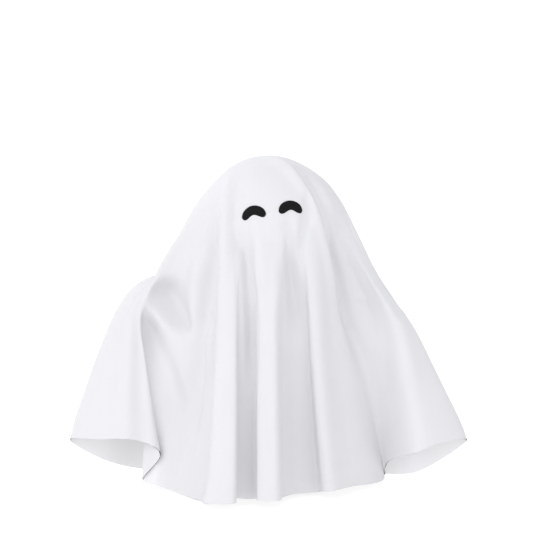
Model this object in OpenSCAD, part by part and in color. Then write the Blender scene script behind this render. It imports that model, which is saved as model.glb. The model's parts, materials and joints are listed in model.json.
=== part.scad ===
// Animated ghost figure: a white sheet over a head dome and two arms that a geared motor swings.
// Millimetres, +Z up, the front towards -Y, the origin on the table under the middle of the figure.

/* [Base] */
// Radius of the base
base_r = 54; // [50:0.5:66]
// Height of the base's flat top above the table
base_h = 46; // [42:0.5:58]
// Wall of the base housing
base_wall = 2.4; // [1.8:0.1:3.2]
// Rounding of the housing's top edge
base_round = 6; // [4:0.5:8]
// Thickness of the bottom cover
cover_t = 3; // [2.6:0.1:4]
// Height of a rubber foot
foot_h = 2; // [1.5:0.1:4]
// Radius of a rubber foot
foot_r = 5; // [4:0.5:6]
// Width of the tower that carries the spine plates
tower_w = 36; // [32:1:44]
// Height of the tower above the housing's top
tower_h = 28; // [24:1:32]
// Wall of the tower
tower_wall = 3; // [2:0.2:4]
// Radius of a screw boss in the housing
boss_r = 4; // [3.4:0.1:5]
// Thickness of the ballast plate
ballast_t = 5; // [3:0.5:7]

/* [Power] */
// Diameter of a battery cell
cell_d = 14.2; // [12:0.1:17.5]
// Length of a battery cell without its tip
cell_l = 49; // [41:0.5:50]
// Number of cells
cell_count = 3; // [2:1:3]
// Room for the contacts at each end of a cell
contact_room = 2.6; // [2.2:0.1:3.2]
// Wall of the battery bay
bay_wall = 1.5; // [1.2:0.1:2]
// Width of the circuit board
board_w = 56; // [50:1:58]
// Depth of the circuit board
board_d = 32; // [28:1:34]
// Distance of the board's upper face below the housing's top wall
board_drop = 13; // [11:0.5:15]
// Radius of the push button's cap
button_r = 6; // [5:0.1:7]
// Travel of the push button
button_travel = 2.5; // [1.5:0.1:3]
// Travel of the slide switch
switch_travel = 4; // [3:0.2:5]

/* [Spine] */
// Height of the shoulder pivots above the table
shoulder_z = 153; // [140:1:185]
// Distance between the two spine plates
plate_gap = 22; // [19:0.5:28]
// Thickness of a spine plate
plate_t = 3; // [2:0.2:4]
// Half width of a spine plate at the head pivot
crown_w = 11; // [9:0.5:14]
// Radius of the plate around a shoulder pin
shoulder_r = 10; // [8:0.5:13]
// Diameter of the pivot pins
pin_d = 4; // [3:0.1:5]
// Radius of the hubs that turn on the pins
hub_r = 6.5; // [5.5:0.1:8]
// Radius of a spacer post
spacer_r = 3.5; // [2.8:0.1:4.5]
// Wall of the rubber sleeve that an arm rests on
sleeve_t = 2; // [1.5:0.1:3]
// Diameter of the plate screws
screw_d = 3; // [2.5:0.1:3.6]

/* [Gears] */
// Module of the arm gears, the head gear and the drive pinion
gear_module = 1.5; // [1.25:0.05:1.8]
// Teeth of a full arm gear
arm_teeth = 40; // [36:2:44]
// Teeth of a full head gear
head_teeth = 66; // [62:1:70]
// Teeth of the drive pinion
pinion_teeth = 12; // [10:1:14]
// Module of the motor gears
drive_module = 1; // [0.8:0.05:1.2]
// Teeth of the drive wheel
wheel_teeth = 40; // [34:2:46]
// Teeth of the motor gear
motor_teeth = 10; // [9:1:12]
// Width of the arm and head gears
gear_t = 6; // [5:0.2:7]
// Width of the drive wheel
wheel_t = 4; // [3:0.2:5]
// Pressure angle of the teeth
pressure_angle = 25; // [22:1:27]
// Play between meshing teeth on the pitch line
tooth_play = 0.25; // [0.15:0.01:0.4]
// Swing of the arms from rest, in degrees
arm_swing = 22; // [12:1:24]

/* [Motor] */
// Diameter of the motor's can
motor_d = 24.4; // [20:0.2:30]
// Length of the motor's can
motor_l = 25; // [20:0.5:30]
// Diameter of the motor's shaft
shaft_d = 2; // [1.6:0.1:2.4]
// Distance between the motor's two screws
motor_screw_span = 17; // [16:0.2:18]

/* [Arms] */
// Distance from a shoulder pivot to the middle of its hand
arm_length = 77; // [66:0.5:92]
// Angle of the left arm above the level at rest
left_arm_angle = 4.5; // [0:0.5:8]
// Angle of the right arm below the level at rest
right_arm_angle = 9.5; // [0:0.5:12]
// Height of an arm's lever
lever_h = 10; // [8:0.5:12]
// Length of the lever up to its socket's mouth
lever_l = 52; // [46:0.5:58]
// Depth of the socket's bore
socket_grip = 14; // [10:0.5:18]
// Diameter of an arm rod
rod_d = 6; // [5:0.1:7]
// Radius of a hand ball
hand_r = 10; // [8.5:0.1:12]

/* [Head] */
// Outer radius of the head dome
dome_r = 54.5; // [46:0.5:65]
// Wall of the head dome
dome_wall = 2.2; // [1.6:0.1:3]
// How far the dome reaches below its centre
dome_skirt = 10; // [4:0.5:16]
// Roll of the head at rest, its left side down
head_roll = 8.5; // [0:0.5:12]
// Width of the carrier that holds the dome
carrier_w = 20; // [16:0.5:24]
// Height of the dome's mounting block above the pivot
block_rise = 28; // [25:0.5:30]

/* [Sheet and eyes] */
// Thickness of the sheet
sheet_t = 1.2; // [0.8:0.1:1.6]
// Room between the sheet and the dome
sheet_ease = 1.3; // [1:0.1:2]
// Radius of an eye's upper outline
eye_r = 10.2; // [8:0.1:12]
// Depth of the hollow in an eye's lower edge
eye_notch = 2.4; // [1.6:0.1:3.2]
// Thickness of an eye
eye_t = 1.5; // [1:0.1:2.5]
// Height of the eyes on the head, as an angle above its middle
eye_rise = 22; // [14:0.5:28]
// Half the angle between the eyes
eye_spread = 17.5; // [14:0.5:22]
// Turn of the face towards the right
face_turn = 6.5; // [0:0.5:10]
// How far the right eye's outer end droops
right_eye_droop = 7.5; // [0:0.5:10]

/* [Hidden] */
$fn = 64;

// Clearances: pressed fits, running pins, loose seats, pieces that pass each other
press_gap = 0.02;
run_gap = 0.05;
seat_gap = 0.2;
pass_gap = 0.4;

// Heights and depths that several pieces share
cover_top = foot_h + cover_t;
top_inner = base_h - base_wall;
plate_in = plate_gap / 2;
plate_out = plate_in + plate_t;
hub_l = plate_gap - 2 * pass_gap;

// Gear centres in the front view, as [x, z]
shoulder_x = gear_module * arm_teeth / 2;
head_reach = gear_module * (arm_teeth + head_teeth) / 2;
head_z = shoulder_z + sqrt(pow(head_reach, 2) - pow(shoulder_x, 2));
head_bearing = atan2(head_z - shoulder_z, -shoulder_x);
left_shoulder = [-shoulder_x, shoulder_z];
right_shoulder = [shoulder_x, shoulder_z];
head_pivot = [0, head_z];
tooth_step = 360 / arm_teeth;
pinion_steps = 5;
pinion_bearing = -pinion_steps * tooth_step;
swing_steps = ceil(arm_swing / tooth_step);
spare_steps = 2;
wheel_at = left_shoulder + gear_module * (arm_teeth + pinion_teeth) / 2 * polar(1, pinion_bearing);
motor_at = wheel_at - [0, drive_module * (wheel_teeth + motor_teeth) / 2];
addendum = 0.8;
dedendum = 1.1;
flank_steps = 4;
pinion_t = gear_t + 2;
wheel_y = pinion_t / 2 + 1;

// Arm stops and the upper spacer
stop_reach = 16;
stop_r = spacer_r + sleeve_t;
stop_drop = lever_h / 2 + pass_gap + stop_r;
left_stop = left_shoulder + turned([-stop_reach, -stop_drop], -left_arm_angle);
right_stop = right_shoulder + turned([stop_reach, -stop_drop], -right_arm_angle);
upper_spacer = head_pivot + [-13, -31];
spacers = [left_stop, right_stop, upper_spacer];
spacer_pad_r = spacer_r + 4;

// Plate screws: head size, and the places on the tower
screw_l = 9;
screw_head_r = 2.9;
screw_head_h = 2;
tower_inset = tower_wall + boss_r - 1;
tower_screws = [[-tower_w / 2 + tower_inset, base_h + 2 * boss_r],
    [tower_w / 2 - tower_inset, base_h + tower_h - tower_inset]];

// Pin heads and clips
pin_head_r = pin_d / 2 + 2;
pin_head_t = 1.6;
clip_t = 0.8;
clip_r = pin_d / 2 + 1.9;
groove_r = pin_d / 2 - 0.5;
clip_mouth = 2 * groove_r - 0.6;
pin_tail = 1.2;

// Battery bay: its inside reaches the housing's rear wall
bay_x = cell_l / 2 + contact_room;
cell_room = 0.3;
cell_pitch = cell_d + cell_room;
bay_rear = sqrt(pow(base_r - base_wall - pass_gap, 2) - pow(bay_x + bay_wall, 2)) - bay_wall;
bay_front = bay_rear - cell_count * cell_pitch;
bay_top = cover_top + cell_d + 3 * seat_gap;
cell_z = cover_top + cell_d / 2 + seat_gap;
cell_tip_r = 2.7;
cell_tip_h = 1.3;
contact_size = [0.5, 9, 10];
contact_cone = [2.5, 4];
grip_size = [16, 1.6, 1.6];
grip_pitch = 4;
tongue_w = 1.3;
tongue_z = foot_h + 1;
tongue_t = 0.9;

// Screw bosses, feet, board and controls in the base
boss_ring = base_r - base_wall - boss_r - 2;
boss_angles = [20, 160, 212, 328];
foot_ring = base_r - foot_r - 3;
board_top = top_inner - board_drop;
board_t = 1.6;
board_y = -9 - board_d;
board_posts = [[-board_w / 2 + 4, -14], [board_w / 2 - 4, -14]];
post_r = 3;
board_screw_r = 1.25;
board_screw_head_r = 2.4;
board_screw_head_h = 1.6;
chip_size = [8, 10, 1.8];
socket_size = [9, 5, 5];
capacitor_r = 2.5;
capacitor_h = 8;
button_at = [-16, -30];
button_rise = 4;
flange_w = 1.5;
flange_t = 2;
plunger_r = 2.2;
tact_w = 6;
tact_h = 4.5;
spring_r = button_r - 0.4;
spring_wire_r = 0.4;
spring_turns = 5;
switch_at = [15, -30];
switch_body_size = [13, 7, 7];
stem_size = [3.6, 3];
knob_size = [7, 5, 2.2];
knob_groove = [0.8, 0.6];
knob_groove_pitch = 2;
grommet_at = [0, 22];
grommet_r = 4;
grommet_lip_w = 1.5;
grommet_lip_t = 1.2;
lead_hole_r = 3;

// Motor fittings
nose_r = 3.5;
bell_l = 5;
bell_step = 0.5;
bell_nose = 1.5;
terminal_x = 5;
terminal_size = [2.4, 4, 0.6];
motor_screw_d = 2.5;
motor_screw_head_r = 2.2;
motor_screw_head_h = 1.4;
motor_screw_bite = 4;

// Leads: from the motor's terminals down through the grommet to the board
lead_r = 0.8;
lead_route = [[4, 44, 78], [2, 32, 61], [1.3, 22, 52], [1.3, 22, 40], [2.5, 12, 36], [3, -4, 35],
    [3, -10.5, 34]];
lead_start = [[0, 2, 0], [0, 3, -7]];
lead_end = [3, -12];

// Arm fittings: the socket's wall, its overlap on the lever and the rod's depth in the hand
socket_wall = 2.5;
socket_overlap = 4;
hand_grip = 8;

// Head fittings
carrier_top = dome_r - dome_wall - 6;
block_x = carrier_w / 2 + 4;
block_y = gear_t / 2 + 5;
dome_screw_x = carrier_w / 2 - 5;
dome_screw_z = block_rise + 9;
sheet_in_r = dome_r + sheet_ease;
sheet_out_r = sheet_in_r + sheet_t;
eye_end_r = 2.1;

// Sheet ribs, one per crest, valley or bend of the hem, from the left round the front to the back:
// [angle on the head, angle at the hem, hem's distance from the base's side, hem's height],
// angles from the front towards the right
ribs = [
    [-66, -88, 52, 6], [-52, -53, 45, 5], [-41, -30, 62, 4], [-34, -18, 62, 4], [-29, -16, 44, 4],
    [-23, -19, 16, 5], [-19, -16, 8, 5], [-15, -10, 9, 5], [-8, -6, 36, 4], [-1, 0, 44, 4],
    [5, 6, 42, 4], [13, 11, 17, 5], [20, 24, 6, 5], [28, 42, 11, 5], [34, 41, 23, 5],
    [43, 64, 28, 5], [54, 88, 44, 5], [60, 95, 38, 8], [68, 82, 52, 25], [76, 81, 74, 34],
    [84, 86, 98, 36.5], [91, 90, 114, 36.5], [99, 96, 86, 13], [106, 99, 61, 5], [114, 110, 16, 5],
    [124, 124, 54, 4], [133, 136, 52, 4], [141, 145, 10, 5], [151, 157, 56, 4], [160, 168, 58, 4],
    [169, 178, 10, 5], [177, 190, 12, 5], [187, 200, 56, 4], [196, 211, 56, 4], [205, 220, 10, 5],
    [214, 230, 54, 4], [223, 240, 52, 4], [231, 248, 16, 5], [239, 253, 58, 6], [252, 262, 88, 20],
    [262, 270, 114, 37], [272, 277, 87, 41], [281, 283.5, 66, 43.5], [287, 275, 44, 35],
    [291, 265, 38, 19]
];
wing_angles = [262, 91];
wing_spread = 17;
wing_edge = 6;
wing_fan = 5.5;
cap_rows = 6;
hand_ease = 3;

// Plane and space helpers
function polar(r, a) = r * [cos(a), sin(a)];
function turned(p, a) = [p[0] * cos(a) - p[1] * sin(a), p[0] * sin(a) + p[1] * cos(a)];
function unit(v) = v / norm(v);
function blend(a, b, s) = a + (b - a) * s;
function outward(a) = [sin(a), -cos(a), 0];

// Gear teeth: half a tooth's angle at radius r, and one tooth's outline
function involute(a) = tan(a) * 180 / PI - a;
function base_circle(m, n) = m * n / 2 * cos(pressure_angle);
function half_tooth(m, n, r) =
    90 / n - tooth_play / (m * n) * 180 / PI + involute(pressure_angle)
    - involute(acos(min(1, base_circle(m, n) / r)));
function flank(m, n) =
    let (root = m * (n / 2 - dedendum), low = max(root, base_circle(m, n)), tip = m * (n / 2 + addendum))
    concat(root < low ? [root] : [], [for (k = [0:flank_steps]) blend(low, tip, k / flank_steps)]);
function tooth(m, n, at) =
    let (rs = flank(m, n), hs = [for (r = rs) half_tooth(m, n, max(r, base_circle(m, n)))])
    concat(
        [for (k = [0:len(rs) - 1]) polar(rs[k], at - hs[k])],
        [for (k = [len(rs) - 1:-1:0]) polar(rs[k], at + hs[k])]
    );

// Whole gear with a tooth at an angle, and a wedge with teeth from one step to another
module gear_2d(m, n, at) polygon([for (k = [0:n - 1]) each tooth(m, n, at + k * 360 / n)]);
module wedge_2d(m, n, at, from, to)
    polygon(concat([[0, 0]], [for (k = [from:to]) each tooth(m, n, at + k * 360 / n)]));

// Front-view outline given depth along Y, and a round bar along Y
module along_y(y0, y1) translate([0, y1, 0]) rotate([90, 0, 0]) linear_extrude(y1 - y0) children();
module bar_y(r, y0, y1) translate([0, y1, 0]) rotate([90, 0, 0]) cylinder(r = r, h = y1 - y0);
module at_xz(p) translate([p[0], 0, p[1]]) children();

// Strip with round ends between two points of a plane
module link_2d(p, q, r) {
    translate(p) circle(r);
    translate(q) circle(r);
    translate(p) rotate(atan2(q[1] - p[1], q[0] - p[0])) translate([0, -r]) square([norm(q - p), 2 * r]);
}

// Pan-head screw along -Z, with its head standing on the plane z = 0
module screw(d, l, head_r, head_h) {
    slot_w = 0.7;
    difference() {
        union() {
            cylinder(r = head_r, h = head_h);
            translate([0, 0, -l]) cylinder(d = d, h = l);
        }
        translate([-head_r, -slot_w / 2, head_h / 2]) cube([2 * head_r, slot_w, head_h]);
    }
}

// Tube swept along points, closed at both ends
module tube(points, r, sides) {
    last = len(points) - 1;
    rings = [for (i = [0:last])
        let (t = unit(points[min(i + 1, last)] - points[max(i - 1, 0)]))
        let (side = unit(cross(t, abs(t[0]) > 0.8 ? [0, 1, 0] : [1, 0, 0])), up = cross(t, side))
        for (k = [0:sides - 1]) points[i] + r * (side * cos(k * 360 / sides) + up * sin(k * 360 / sides))];
    skin = [for (i = [0:last - 1], k = [0:sides - 1])
        let (a = i * sides + k, b = i * sides + (k + 1) % sides)
        each [[a, b, a + sides], [b, b + sides, a + sides]]];
    ends = [for (k = [1:sides - 2])
        each [[0, k + 1, k], [last * sides, last * sides + k, last * sides + k + 1]]];
    polyhedron(points = rings, faces = concat(skin, ends));
}

// Smooth curve through points, with a few steps from each to the next
function curve(p, steps) =
    let (last = len(p) - 1)
    concat([for (i = [0:last - 1], k = [0:steps - 1])
        let (s = k / steps, a = p[max(i - 1, 0)], b = p[i], c = p[i + 1], d = p[min(i + 2, last)])
        0.5 * (2 * b + (c - a) * s + (2 * a - 5 * b + 4 * c - d) * pow(s, 2)
            + (3 * b - a - 3 * c + d) * pow(s, 3))], [p[last]]);

// Base: drum with a round top edge
module drum(r, h, edge) rotate_extrude() {
    square([r, h - edge]);
    square([r - edge, h]);
    translate([r - edge, h - edge]) intersection() {
        circle(edge);
        square(edge);
    }
}

module boss_places() for (a = boss_angles) rotate(a) translate([boss_ring, 0, 0]) children();

module base_housing() color("dimgray") difference() {
    union() {
        difference() {
            translate([0, 0, cover_top]) drum(base_r, base_h - cover_top, base_round);
            translate([0, 0, cover_top - 1])
                drum(base_r - base_wall, top_inner - cover_top + 1, base_round - base_wall);
        }
        translate([-tower_w / 2, -plate_in, top_inner]) cube([tower_w, plate_gap, base_wall + tower_h]);
        boss_places() translate([0, 0, cover_top]) cylinder(r = boss_r, h = top_inner - cover_top);
        for (p = board_posts) translate([p[0], p[1], board_top]) cylinder(r = post_r, h = board_drop);
    }
    difference() {
        translate([-tower_w / 2 + tower_wall, -plate_in + tower_wall, top_inner - 1])
            cube([tower_w - 2 * tower_wall, plate_gap - 2 * tower_wall,
                base_wall + tower_h - tower_wall + 1]);
        for (p = tower_screws) at_xz(p) bar_y(boss_r, -plate_in, plate_in);
    }
    for (p = tower_screws) at_xz(p) bar_y(screw_d / 2 + run_gap, -plate_out, plate_out);
    boss_places() translate([0, 0, cover_top - 1]) cylinder(d = screw_d + 2 * run_gap, h = screw_l + 1);
    for (p = board_posts) translate([p[0], p[1], board_top - 1])
        cylinder(r = board_screw_r + run_gap, h = screw_l - 1);
    translate([button_at[0], button_at[1], top_inner - 1])
        cylinder(r = button_r + seat_gap, h = base_wall + 2);
    slot = stem_size + [switch_travel + 2 * pass_gap, 2 * pass_gap];
    translate([switch_at[0] - slot[0] / 2, switch_at[1] - slot[1] / 2, top_inner - 1])
        cube([slot[0], slot[1], base_wall + 2]);
    translate([grommet_at[0], grommet_at[1], top_inner - 1])
        cylinder(r = grommet_r + run_gap, h = base_wall + 2);
}

module base_cover() color("dimgray") difference() {
    union() {
        translate([0, 0, foot_h]) cylinder(r = base_r, h = cover_t);
        translate([-bay_x - bay_wall, bay_front - bay_wall, cover_top - 1])
            cube([2 * (bay_x + bay_wall), bay_rear - bay_front + 2 * bay_wall,
                bay_top - cover_top + bay_wall + 1]);
    }
    translate([-bay_x, bay_front, cover_top - 2])
        cube([2 * bay_x, bay_rear - bay_front, bay_top - cover_top + 2]);
    translate([-bay_x, bay_front, foot_h - 1]) cube([2 * bay_x, 2 * base_r, cover_t + 1]);
    groove_x = bay_x + tongue_w + seat_gap;
    translate([-groove_x, bay_front, tongue_z - seat_gap])
        cube([2 * groove_x, 2 * base_r, tongue_t + 2 * seat_gap]);
    boss_places() {
        translate([0, 0, foot_h - 1]) cylinder(r = screw_head_r + seat_gap, h = 1 + screw_head_h);
        translate([0, 0, foot_h]) cylinder(d = screw_d + 2 * run_gap, h = cover_t + 1);
    }
}

module rubber_feet() color("black")
    for (k = [0:3]) rotate(45 + 90 * k) translate([foot_ring, 0, 0]) cylinder(r = foot_r, h = foot_h);

module cover_screws() color("silver")
    boss_places() translate([0, 0, foot_h + screw_head_h]) rotate([180, 0, 0])
        screw(screw_d, screw_l, screw_head_r, screw_head_h);

module battery_door() color("gray") intersection() {
    cylinder(r = base_r, h = cover_top);
    door_x = bay_x - seat_gap;
    difference() {
        union() {
            translate([-door_x, bay_front + seat_gap, foot_h])
                cube([2 * door_x, 2 * base_r, cover_t - pass_gap]);
            translate([-bay_x - tongue_w, bay_front + seat_gap, tongue_z])
                cube([2 * (bay_x + tongue_w), 2 * base_r, tongue_t]);
        }
        for (k = [1:3]) translate([-grip_size[0] / 2, bay_rear - grip_pitch * k, foot_h - 1])
            cube(grip_size);
    }
}

// One cell along +X, its tip at the far end
module cell() rotate([0, 90, 0]) {
    cylinder(d = cell_d, h = cell_l);
    cylinder(r = cell_tip_r, h = cell_l + cell_tip_h);
}

module battery_cells() color("goldenrod")
    for (k = [0:cell_count - 1])
        translate([0, bay_front + (k + 0.5) * cell_pitch, cell_z])
            rotate(180 * (k % 2)) translate([-cell_l / 2, 0, 0]) cell();

module battery_contacts() color("silver")
    for (k = [0:cell_count - 1], side = [-1, 1])
        translate([0, bay_front + (k + 0.5) * cell_pitch, cell_z])
            rotate(180 * (k % 2)) mirror([side < 0 ? 1 : 0, 0, 0]) {
                translate([bay_x - contact_size[0], -contact_size[1] / 2, -contact_size[2] / 2])
                    cube(contact_size);
                if (side < 0) translate([cell_l / 2 + run_gap, 0, 0]) rotate([0, 90, 0])
                    cylinder(r1 = contact_cone[0], r2 = contact_cone[1],
                        h = contact_room - contact_size[0] - run_gap);
            }

module ballast_plate() color("slategray") difference() {
    intersection() {
        translate([0, 0, cover_top]) cylinder(r = base_r - base_wall - pass_gap, h = ballast_t);
        translate([-base_r, -base_r, cover_top])
            cube([2 * base_r, base_r + bay_front - bay_wall - pass_gap, ballast_t]);
    }
    boss_places() cylinder(r = boss_r + pass_gap, h = base_h);
}

module circuit_board() color("darkgreen") difference() {
    translate([-board_w / 2, board_y, board_top - board_t]) cube([board_w, board_d, board_t]);
    for (p = board_posts) translate([p[0], p[1], board_top - board_t - 1])
        cylinder(r = board_screw_r + run_gap, h = board_t + 2);
}

module board_components() color("black") {
    translate([-4, -24, board_top]) cube(chip_size);
    translate([4, -34, board_top]) cylinder(r = capacitor_r, h = capacitor_h);
    translate([-24, -22, board_top]) cube(socket_size);
    translate([button_at[0] - tact_w / 2, button_at[1] - tact_w / 2, board_top])
        cube([tact_w, tact_w, tact_h]);
}

module board_screws() color("silver")
    for (p = board_posts) translate([p[0], p[1], board_top - board_t]) rotate([180, 0, 0])
        screw(2 * board_screw_r, screw_l - 2, board_screw_head_r, board_screw_head_h);

module switch_body() color("silver") difference() {
    translate([switch_at[0] - switch_body_size[0] / 2, switch_at[1] - switch_body_size[1] / 2, board_top])
        cube(switch_body_size);
    slot = stem_size + [switch_travel + 2 * pass_gap, 2 * seat_gap];
    translate([switch_at[0] - slot[0] / 2, switch_at[1] - slot[1] / 2, board_top + switch_body_size[2] / 2])
        cube([slot[0], slot[1], switch_body_size[2]]);
}

// Knob in its off place, at the left end of its travel
module switch_knob() color("black")
    translate([switch_at[0] - switch_travel / 2, switch_at[1], 0]) {
        stem_z = board_top + switch_body_size[2] / 2 + seat_gap;
        cap_z = base_h + seat_gap;
        translate([-stem_size[0] / 2, -stem_size[1] / 2, stem_z])
            cube([stem_size[0], stem_size[1], cap_z - stem_z]);
        difference() {
            translate([-knob_size[0] / 2, -knob_size[1] / 2, cap_z]) cube(knob_size);
            for (k = [-1:1])
                translate([k * knob_groove_pitch - knob_groove[0] / 2, -knob_size[1],
                    cap_z + knob_size[2] - knob_groove[1]])
                    cube([knob_groove[0], 2 * knob_size[1], 1]);
        }
    }

module push_button() color("firebrick") translate([button_at[0], button_at[1], 0]) {
    flange_z = top_inner - seat_gap - flange_t;
    translate([0, 0, flange_z]) cylinder(r = button_r + flange_w, h = flange_t);
    translate([0, 0, flange_z]) drum(button_r, base_h + button_rise - flange_z, 1);
    plunger_z = board_top + tact_h + button_travel + seat_gap;
    translate([0, 0, plunger_z]) cylinder(r = plunger_r, h = flange_z - plunger_z + 1);
}

module button_spring() color("silver") {
    low = board_top + spring_wire_r + seat_gap;
    high = top_inner - flange_t - 2 * seat_gap - spring_wire_r;
    rings = 8 * spring_turns;
    tube([for (k = [0:rings]) let (a = 360 * spring_turns * k / rings)
        [button_at[0] + spring_r * cos(a), button_at[1] + spring_r * sin(a), blend(low, high, k / rings)]],
        spring_wire_r, 6);
}

module lead_grommet() color("black") translate([grommet_at[0], grommet_at[1], 0]) difference() {
    union() {
        translate([0, 0, top_inner]) cylinder(r = grommet_r, h = base_wall);
        translate([0, 0, base_h]) cylinder(r = grommet_r + grommet_lip_w, h = grommet_lip_t);
    }
    translate([0, 0, top_inner - 1]) cylinder(r = lead_hole_r, h = base_wall + 2 * grommet_lip_t);
}

module motor_leads() color("crimson") for (side = [-1, 1]) {
    mirrored = [for (p = lead_route) [side * p[0], p[1], p[2]]];
    tab_y = plate_out + motor_l + bell_l + terminal_size[1] + seat_gap;
    start = [motor_at[0] + side * terminal_x, tab_y, motor_at[1]];
    finish = [side * lead_end[0], lead_end[1], board_top + lead_r + seat_gap];
    first = [for (p = lead_start) start + p];
    tube(curve(concat([start], first, mirrored, [finish]), 3), lead_r, 8);
}

// Spine plate in the front view
module plate_2d() difference() {
    union() {
        polygon([[-tower_w / 2, base_h + seat_gap], [tower_w / 2, base_h + seat_gap],
            [tower_w / 2, shoulder_z], [crown_w, head_z], [-crown_w, head_z], [-tower_w / 2, shoulder_z]]);
        translate(head_pivot) circle(crown_w);
        link_2d(left_shoulder, right_shoulder, shoulder_r);
        link_2d(left_shoulder, left_stop, spacer_pad_r);
        link_2d(right_shoulder, right_stop, spacer_pad_r);
        link_2d(upper_spacer, [head_pivot[0], upper_spacer[1]], spacer_pad_r);
    }
    for (p = [left_shoulder, right_shoulder, head_pivot, wheel_at])
        translate(p) circle(pin_d / 2 + run_gap);
    for (p = concat(spacers, tower_screws)) translate(p) circle(screw_d / 2 + run_gap);
}

module front_spine_plate() color("lightgray") along_y(-plate_out, -plate_in) plate_2d();

module rear_spine_plate() color("lightgray") along_y(plate_in, plate_out) difference() {
    plate_2d();
    translate(motor_at) circle(nose_r + run_gap);
    for (side = [-1, 1]) translate(motor_at + [side * motor_screw_span / 2, 0])
        circle(motor_screw_d / 2 + run_gap);
}

module plate_screws() color("silver") for (p = concat(spacers, tower_screws), turn = [0, 180])
    at_xz(p) rotate(turn) translate([0, -plate_out, 0]) rotate([90, 0, 0])
        screw(screw_d, screw_l, screw_head_r, screw_head_h);

module spacer_posts() color("silver") for (p = spacers) at_xz(p) difference() {
    bar_y(spacer_r, -plate_in, plate_in);
    bar_y(screw_d / 2 + run_gap, -plate_out, plate_out);
}

module stop_sleeves() color("black") for (p = [left_stop, right_stop]) at_xz(p) difference() {
    bar_y(stop_r, -gear_t, gear_t);
    bar_y(spacer_r + run_gap, -plate_in, plate_in);
}

// Pin with its head in front of the plates and a clip groove behind them
module pin() {
    bar_y(pin_head_r, -plate_out - pin_head_t, -plate_out);
    bar_y(pin_d / 2, -plate_out, plate_out + run_gap);
    bar_y(groove_r, plate_out, plate_out + clip_t + 3 * run_gap);
    bar_y(pin_d / 2, plate_out + clip_t + 3 * run_gap, plate_out + clip_t + pin_tail);
}

module shoulder_pins() color("silver") for (p = [left_shoulder, right_shoulder]) at_xz(p) pin();
module head_pin() color("silver") at_xz(head_pivot) pin();
module wheel_pin() color("silver") at_xz(wheel_at) pin();

module pivot_clips() color("silver")
    for (p = [left_shoulder, right_shoulder, head_pivot, wheel_at]) at_xz(p) difference() {
        bar_y(clip_r, plate_out + 2 * run_gap, plate_out + 2 * run_gap + clip_t);
        bar_y(groove_r + run_gap, plate_out, plate_out + 2 * clip_t);
        translate([-clip_mouth / 2, plate_out, -2 * clip_r]) cube([clip_mouth, 2 * clip_t, 2 * clip_r]);
    }

// Motor behind the rear plate, its nose in the plate
module motor_can() color("silver") at_xz(motor_at) difference() {
    union() {
        bar_y(motor_d / 2, plate_out, plate_out + motor_l);
        bar_y(nose_r, plate_in + 0.5, plate_out + 1);
    }
    bar_y(shaft_d / 2 + run_gap, plate_in, plate_out + motor_l + 1);
    for (side = [-1, 1]) translate([side * motor_screw_span / 2, 0, 0])
        bar_y(motor_screw_d / 2 + run_gap, plate_in, plate_out + motor_screw_bite + 1);
}

module motor_end_bell() color("ivory") at_xz(motor_at) difference() {
    union() {
        bar_y(motor_d / 2 - bell_step, plate_out + motor_l, plate_out + motor_l + bell_l);
        bar_y(nose_r, plate_out + motor_l, plate_out + motor_l + bell_l + bell_nose);
    }
    bar_y(shaft_d / 2 + run_gap, plate_out + motor_l - 1, plate_out + motor_l + bell_l);
}

module motor_terminals() color("gold") for (side = [-1, 1])
    translate([motor_at[0] + side * terminal_x - terminal_size[0] / 2, plate_out + motor_l + bell_l,
        motor_at[1] - terminal_size[2] / 2])
        cube(terminal_size);

module motor_screws() color("silver") for (side = [-1, 1])
    at_xz(motor_at + [side * motor_screw_span / 2, 0]) translate([0, plate_in, 0]) rotate([90, 0, 0])
        screw(motor_screw_d, plate_t + motor_screw_bite, motor_screw_head_r, motor_screw_head_h);

module motor_shaft() color("silver") at_xz(motor_at)
    bar_y(shaft_d / 2, wheel_y - 0.5, plate_out + motor_l + bell_l - pass_gap);

module motor_gear() color("goldenrod") at_xz(motor_at) difference() {
    along_y(wheel_y - 0.5, wheel_y + wheel_t) gear_2d(drive_module, motor_teeth, 90 + 180 / motor_teeth);
    bar_y(shaft_d / 2 + press_gap, wheel_y - 1, wheel_y + wheel_t + 1);
}

module drive_wheel() color("ivory") at_xz(wheel_at) difference() {
    union() {
        along_y(wheel_y, wheel_y + wheel_t) gear_2d(drive_module, wheel_teeth, -90);
        along_y(-pinion_t / 2, wheel_y)
            gear_2d(gear_module, pinion_teeth, pinion_bearing + 180 + 180 / pinion_teeth);
        bar_y(hub_r, -hub_l / 2, -pinion_t / 2);
        bar_y(hub_r, wheel_y, hub_l / 2);
    }
    bar_y(pin_d / 2 + run_gap, -plate_in, plate_in);
}

// Parts of an arm along +X from its shoulder: the lever with its hub and socket, before the bores
module lever_body() {
    along_y(-gear_t / 2, gear_t / 2) translate([0, -lever_h / 2])
        square([lever_l - socket_overlap, lever_h]);
    bar_y(hub_r, -hub_l / 2, hub_l / 2);
    translate([lever_l - socket_grip - socket_overlap, 0, 0]) rotate([0, 90, 0])
        cylinder(d = rod_d + 2 * socket_wall, h = socket_grip + socket_overlap);
}

module lever_bores() {
    bar_y(pin_d / 2 + run_gap, -plate_in, plate_in);
    translate([lever_l - socket_grip, 0, 0]) rotate([0, 90, 0])
        cylinder(d = rod_d + 2 * run_gap, h = socket_grip + 1);
}

module rod() translate([lever_l - socket_grip + seat_gap, 0, 0]) rotate([0, 90, 0])
    cylinder(d = rod_d, h = arm_length - hand_r + hand_grip - lever_l + socket_grip - 2 * seat_gap);

module hand() translate([arm_length, 0, 0]) difference() {
    sphere(hand_r);
    translate([-2 * hand_r, 0, 0]) rotate([0, 90, 0])
        cylinder(d = rod_d + 2 * run_gap, h = hand_r + hand_grip);
}

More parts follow.
